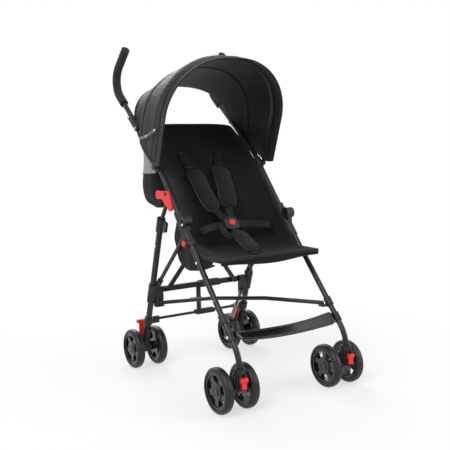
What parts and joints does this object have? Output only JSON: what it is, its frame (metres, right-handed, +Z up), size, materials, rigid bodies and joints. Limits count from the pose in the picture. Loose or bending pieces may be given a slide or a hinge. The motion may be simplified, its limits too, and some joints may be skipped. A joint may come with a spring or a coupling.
{
  "type": "umbrella stroller",
  "caption": "Lightweight folding umbrella stroller: tube side frames, sling seat with harness, folding canopy, rear storage bag, swivel front wheels and braked rear wheels.",
  "frame": {"origin": "middle of the bounding box in plan, on the ground under the tyres", "axes": "+Z up, the stroller faces -Y, its left side is at +X"},
  "size_m": [0.473, 0.735, 1.0301],
  "materials": {
    "frame_paint": "satin black powder coat on steel tube",
    "black_plastic": "moulded nylon, fine grain",
    "gloss_black": "polished moulding",
    "foam": "closed-cell foam",
    "tyre": "solid moulded tyre",
    "steel": "drawn bar",
    "red_plastic": "bright moulded red",
    "canopy_cloth": "close woven polyester",
    "seat_cloth": "woven polyester with a thin wadding",
    "bag_cloth": "woven polyester with a mesh panel",
    "webbing": "ribbed webbing",
    "pad_cloth": "quilted sleeve"
  },
  "bodies": {
    "right_side": {"front_leg_right": "frame_paint", "handle_tube_right": "frame_paint", "knuckle_right": "black_plastic", "rear_link_right": "frame_paint", "rear_leg_right": "frame_paint", "side_strut_right": "frame_paint", "grip_right": "foam", "rear_bracket_right": "black_plastic", "canopy_hinge_right": "black_plastic", "foot_bracket_right": "black_plastic", "rear_housing_right": "black_plastic", "rear_axle_right": "steel", "seat_sling": "seat_cloth", "storage_bag": "bag_cloth", "harness_straps": "webbing", "harness_pads": "pad_cloth", "footrest": "gloss_black", "canopy_cover": "canopy_cloth"},
    "left_side": {"front_leg_left": "frame_paint", "handle_tube_left": "frame_paint", "knuckle_left": "black_plastic", "rear_link_left": "frame_paint", "rear_leg_left": "frame_paint", "side_strut_left": "frame_paint", "grip_left": "foam", "rear_bracket_left": "black_plastic", "canopy_hinge_left": "black_plastic", "foot_bracket_left": "black_plastic", "rear_housing_left": "black_plastic", "rear_axle_left": "steel"},
    "cross_bar_right": {"cross_bar_right": "frame_paint"},
    "back_brace_right": {"back_brace_right": "frame_paint"},
    "rear_brace_right": {"rear_brace_right": "frame_paint"},
    "lower_rod_right": {"lower_rod_right": "frame_paint"},
    "caster_right": {"caster_right": "black_plastic", "front_axle_right": "steel"},
    "swivel_lock_right": {"swivel_lock_right": "red_plastic"},
    "front_wheels_right": {"front_rims_right": "gloss_black", "front_tyres_right": "tyre"},
    "rear_wheels_right": {"rear_rims_right": "gloss_black", "rear_tyres_right": "tyre"},
    "brake_right": {"brake_lever_right": "red_plastic"},
    "cross_bar_left": {"cross_bar_left": "frame_paint"},
    "back_brace_left": {"back_brace_left": "frame_paint"},
    "rear_brace_left": {"rear_brace_left": "frame_paint"},
    "lower_rod_left": {"lower_rod_left": "frame_paint"},
    "caster_left": {"caster_left": "black_plastic", "front_axle_left": "steel"},
    "swivel_lock_left": {"swivel_lock_left": "red_plastic"},
    "front_wheels_left": {"front_rims_left": "gloss_black", "front_tyres_left": "tyre"},
    "rear_wheels_left": {"rear_rims_left": "gloss_black", "rear_tyres_left": "tyre"},
    "brake_left": {"brake_lever_left": "red_plastic"},
    "centre_link": {"centre_link": "black_plastic"},
    "fold_latch": {"fold_latch": "red_plastic"},
    "frame_button": {"frame_button": "red_plastic"},
    "canopy_bow": {"canopy_bow": "black_plastic"},
    "buckle": {"harness_buckle": "black_plastic"},
    "buckle_button": {"buckle_button": "red_plastic"}
  },
  "joints": [
    {"name": "fold", "type": "slide", "parent": "right_side", "child": "left_side", "axis": [1, 0, 0], "range_m": [-0.22, 0], "deforming": ["seat_sling", "storage_bag", "harness_straps", "harness_pads", "footrest", "canopy_cover", "canopy_bow"]},
    {"name": "cross_bar_right_swing", "type": "hinge", "parent": "right_side", "child": "cross_bar_right", "pos_m": [-0.153, 0.14789, 0.2148], "axis": [0, 0, 1], "range_deg": [-26.74, 0]},
    {"name": "cross_bar_left_swing", "type": "hinge", "parent": "left_side", "child": "cross_bar_left", "pos_m": [0.153, 0.14789, 0.2148], "axis": [0, 0, 1], "range_deg": [0, 26.74]},
    {"name": "back_brace_right_swing", "type": "hinge", "parent": "right_side", "child": "back_brace_right", "pos_m": [-0.1705, 0.10199, 0.64869], "axis": [0, 0.993, 0.1183], "range_deg": [0, 28.11]},
    {"name": "back_brace_left_swing", "type": "hinge", "parent": "left_side", "child": "back_brace_left", "pos_m": [0.1705, 0.10199, 0.64869], "axis": [0, 0.993, 0.1183], "range_deg": [-28.11, 0]},
    {"name": "rear_brace_right_rise", "type": "hinge", "parent": "right_side", "child": "rear_brace_right", "pos_m": [-0.156, 0.16529, 0.255], "axis": [0, 1, 0], "range_deg": [-73.05, 0]},
    {"name": "rear_brace_left_rise", "type": "hinge", "parent": "left_side", "child": "rear_brace_left", "pos_m": [0.156, 0.16529, 0.255], "axis": [0, 1, 0], "range_deg": [0, 73.05]},
    {"name": "lower_rod_right_rise", "type": "hinge", "parent": "right_side", "child": "lower_rod_right", "pos_m": [-0.156, 0.19289, 0.155], "axis": [0, 1, 0], "range_deg": [-73.05, 0]},
    {"name": "lower_rod_left_rise", "type": "hinge", "parent": "left_side", "child": "lower_rod_left", "pos_m": [0.156, 0.19289, 0.155], "axis": [0, 1, 0], "range_deg": [0, 73.05]},
    {"name": "centre_link_hang", "type": "hinge", "parent": "rear_brace_left", "child": "centre_link", "pos_m": [0, 0.17599, 0.255], "axis": [0, 1, 0], "range_deg": [-73.05, 0]},
    {"name": "buckle_shift", "type": "slide", "parent": "right_side", "child": "buckle", "axis": [1, 0, 0], "range_m": [-0.111, 0]},
    {"name": "canopy_fold", "type": "hinge", "parent": "right_side", "child": "canopy_bow", "pos_m": [-0.199, 0.06899, 0.64869], "axis": [1, 0, 0], "range_deg": [-34, 0], "deforming": ["canopy_cover"]},
    {"name": "fold_latch_lift", "type": "hinge", "parent": "right_side", "child": "fold_latch", "pos_m": [-0.195, 0.00535, 0.56898], "axis": [1, 0, 0], "range_deg": [0, 25]},
    {"name": "frame_button_press", "type": "slide", "parent": "right_side", "child": "frame_button", "axis": [1, 0, 0], "range_m": [0, 0.003], "stiffness_N_per_m": 600},
    {"name": "buckle_button_press", "type": "slide", "parent": "buckle", "child": "buckle_button", "axis": [0, 0.7679, -0.6406], "range_m": [0, 0.0025], "stiffness_N_per_m": 600},
    {"name": "caster_right_swivel", "type": "hinge", "parent": "right_side", "child": "caster_right", "pos_m": [-0.183, -0.34498, 0.0625], "axis": [0, 0, 1], "continuous": true},
    {"name": "swivel_lock_right_slide", "type": "slide", "parent": "caster_right", "child": "swivel_lock_right", "axis": [0, 0, 1], "range_m": [0, 0.008]},
    {"name": "front_wheels_right_spin", "type": "hinge", "parent": "caster_right", "child": "front_wheels_right", "pos_m": [-0.183, -0.30298, 0.0625], "axis": [1, 0, 0], "continuous": true},
    {"name": "rear_wheels_right_spin", "type": "hinge", "parent": "right_side", "child": "rear_wheels_right", "pos_m": [-0.183, 0.21702, 0.0625], "axis": [1, 0, 0], "continuous": true},
    {"name": "brake_right_press", "type": "hinge", "parent": "right_side", "child": "brake_right", "pos_m": [-0.183, 0.23002, 0.0885], "axis": [1, 0, 0], "range_deg": [-25, 0]},
    {"name": "caster_left_swivel", "type": "hinge", "parent": "left_side", "child": "caster_left", "pos_m": [0.183, -0.34498, 0.0625], "axis": [0, 0, 1], "continuous": true},
    {"name": "swivel_lock_left_slide", "type": "slide", "parent": "caster_left", "child": "swivel_lock_left", "axis": [0, 0, 1], "range_m": [0, 0.008]},
    {"name": "front_wheels_left_spin", "type": "hinge", "parent": "caster_left", "child": "front_wheels_left", "pos_m": [0.183, -0.30298, 0.0625], "axis": [1, 0, 0], "continuous": true},
    {"name": "rear_wheels_left_spin", "type": "hinge", "parent": "left_side", "child": "rear_wheels_left", "pos_m": [0.183, 0.21702, 0.0625], "axis": [1, 0, 0], "continuous": true},
    {"name": "brake_left_press", "type": "hinge", "parent": "left_side", "child": "brake_left", "pos_m": [0.183, 0.23002, 0.0885], "axis": [1, 0, 0], "range_deg": [-25, 0]}
  ],
  "couplings": [
    {"joint": "cross_bar_right_swing", "follows": "fold", "rad_per_m": 2.1057},
    {"joint": "cross_bar_left_swing", "follows": "fold", "rad_per_m": -2.1057},
    {"joint": "back_brace_right_swing", "follows": "fold", "rad_per_m": -2.2146},
    {"joint": "back_brace_left_swing", "follows": "fold", "rad_per_m": 2.2146},
    {"joint": "rear_brace_right_rise", "follows": "fold", "rad_per_m": 5.7794},
    {"joint": "rear_brace_left_rise", "follows": "fold", "rad_per_m": -5.7794},
    {"joint": "lower_rod_right_rise", "follows": "fold", "rad_per_m": 5.7794},
    {"joint": "lower_rod_left_rise", "follows": "fold", "rad_per_m": -5.7794},
    {"joint": "centre_link_hang", "follows": "fold", "rad_per_m": 5.7794},
    {"joint": "buckle_shift", "follows": "fold", "ratio": 0.5}
  ]
}
